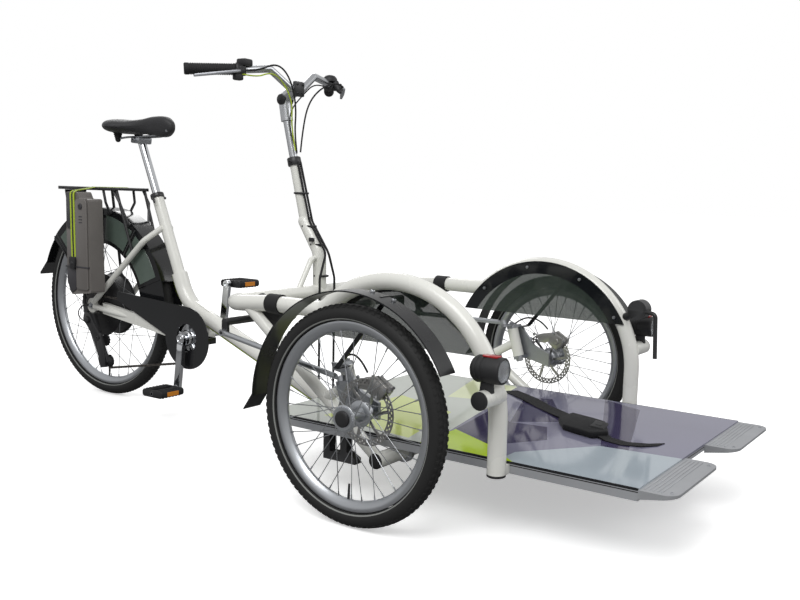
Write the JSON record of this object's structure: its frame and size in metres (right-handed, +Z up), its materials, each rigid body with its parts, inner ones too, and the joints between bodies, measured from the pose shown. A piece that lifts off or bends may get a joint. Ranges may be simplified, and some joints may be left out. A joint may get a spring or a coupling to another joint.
{
  "type": "wheelchair bicycle",
  "caption": "Pedal tricycle with electric rear hub that carries a wheelchair on a low tilting platform between its front wheels.",
  "frame": {"origin": "on the ground below the middle of the overall length and width", "axes": "+X forward, +Y to the rider's left, +Z up; the three tyres stand on z = 0"},
  "size_m": [2.603, 1.088, 1.116],
  "materials": {
    "aluminium": "satin",
    "battery": "matte",
    "black_metal": "satin black",
    "black_plastic": "matte",
    "chain": "oiled",
    "clear_panel": "smoked, see-through",
    "deck": "glossy, printed in plain bands",
    "frame_paint": "gloss off-white",
    "guard": "gloss black",
    "rubber": "matte",
    "saddle": "soft, matte",
    "steel": "satin",
    "tyre": "matte"
  },
  "bodies": {
    "frame": {"battery": "battery", "buffers": "rubber", "cables": "rubber", "chain": "chain", "chain_guard": "guard", "coat_guards": "guard", "front_frame": "frame_paint", "mudguard_rear": "guard", "rack": "black_metal", "rear_frame": "frame_paint", "rear_stays": "frame_paint", "saddle": "saddle", "saddle_springs": "steel", "seat_post": "aluminium", "steering_column": "frame_paint", "tensioner": "black_metal", "tie_downs": "black_plastic"},
    "knuckle_left": {"knuckle_left": "steel", "mudguard_front_left": "guard", "caliper_left": "black_metal"},
    "knuckle_right": {"knuckle_right": "steel", "mudguard_front_right": "guard", "caliper_right": "black_metal"},
    "front_wheel_left": {"wheel_front_left": "aluminium", "tyre_front_left": "tyre"},
    "front_wheel_right": {"wheel_front_right": "aluminium", "tyre_front_right": "tyre"},
    "rear_wheel": {"wheel_rear": "aluminium", "tyre_rear": "tyre"},
    "crank": {"crank": "aluminium"},
    "pedal_left": {"pedal_left": "rubber"},
    "pedal_right": {"pedal_right": "rubber"},
    "handlebar": {"handlebar": "aluminium", "grips": "rubber", "bar_controls": "black_plastic"},
    "relay": {"steering_relay": "black_metal"},
    "push_rod_left": {"push_rod_left": "aluminium"},
    "push_rod_right": {"push_rod_right": "aluminium"},
    "platform": {"platform_frame": "aluminium", "platform_deck": "deck", "ramp_tips": "aluminium", "hoop_left": "frame_paint", "hoop_right": "frame_paint", "panel_left": "clear_panel", "panel_right": "clear_panel", "lamp_left": "black_plastic", "lamp_right": "black_plastic", "release_lever": "black_plastic", "catches": "black_metal"}
  },
  "joints": [
    {"name": "rear_wheel_spin", "type": "hinge", "parent": "frame", "child": "rear_wheel", "pos_m": [-0.94052, 0, 0.327], "axis": [0, 1, 0], "continuous": true},
    {"name": "handlebar_steer", "type": "hinge", "parent": "frame", "child": "handlebar", "pos_m": [-0.05052, 0, 0.838], "axis": [-0.2425, 0, 0.9701], "range_deg": [-33, 33]},
    {"name": "knuckle_left_steer", "type": "hinge", "parent": "frame", "child": "knuckle_left", "pos_m": [0.49447, 0.405, 0.345], "axis": [-0.2924, 0, 0.9563], "range_deg": [-11, 11]},
    {"name": "knuckle_right_steer", "type": "hinge", "parent": "frame", "child": "knuckle_right", "pos_m": [0.49447, -0.405, 0.345], "axis": [-0.2924, 0, 0.9563], "range_deg": [-11, 11]},
    {"name": "front_wheel_left_spin", "type": "hinge", "parent": "knuckle_left", "child": "front_wheel_left", "pos_m": [0.59447, 0.504, 0.256], "axis": [0, 1, 0], "continuous": true},
    {"name": "front_wheel_right_spin", "type": "hinge", "parent": "knuckle_right", "child": "front_wheel_right", "pos_m": [0.59447, -0.504, 0.256], "axis": [0, 1, 0], "continuous": true},
    {"name": "relay_turn", "type": "hinge", "parent": "frame", "child": "relay", "pos_m": [0.10448, 0, 0.412], "axis": [0, 1, 0], "range_deg": [-11, 11]},
    {"name": "push_rod_left_turn", "type": "hinge", "parent": "relay", "child": "push_rod_left", "pos_m": [0.10448, 0.357, 0.3661], "axis": [0, 1, 0], "range_deg": [-11, 11]},
    {"name": "push_rod_right_turn", "type": "hinge", "parent": "relay", "child": "push_rod_right", "pos_m": [0.10448, -0.433, 0.38522], "axis": [0, 1, 0], "range_deg": [-11, 11]},
    {"name": "crank_turn", "type": "hinge", "parent": "frame", "child": "crank", "pos_m": [-0.45552, 0, 0.264], "axis": [0, 1, 0], "continuous": true},
    {"name": "pedal_left_turn", "type": "hinge", "parent": "crank", "child": "pedal_left", "pos_m": [-0.43187, 0.146, 0.43235], "axis": [0, 1, 0], "continuous": true},
    {"name": "pedal_right_turn", "type": "hinge", "parent": "crank", "child": "pedal_right", "pos_m": [-0.47918, -0.146, 0.09565], "axis": [0, 1, 0], "continuous": true},
    {"name": "platform_tilt", "type": "hinge", "parent": "frame", "child": "platform", "pos_m": [0.59447, 0, 0.13], "axis": [0, 1, 0], "range_deg": [0, 13]}
  ],
  "couplings": [
    {"joint": "knuckle_left_steer", "follows": "handlebar_steer", "ratio": 0.33333},
    {"joint": "knuckle_right_steer", "follows": "handlebar_steer", "ratio": 0.33333},
    {"joint": "relay_turn", "follows": "handlebar_steer", "ratio": -0.33333},
    {"joint": "push_rod_left_turn", "follows": "handlebar_steer", "ratio": 0.32175},
    {"joint": "push_rod_right_turn", "follows": "handlebar_steer", "ratio": 0.32658}
  ]
}
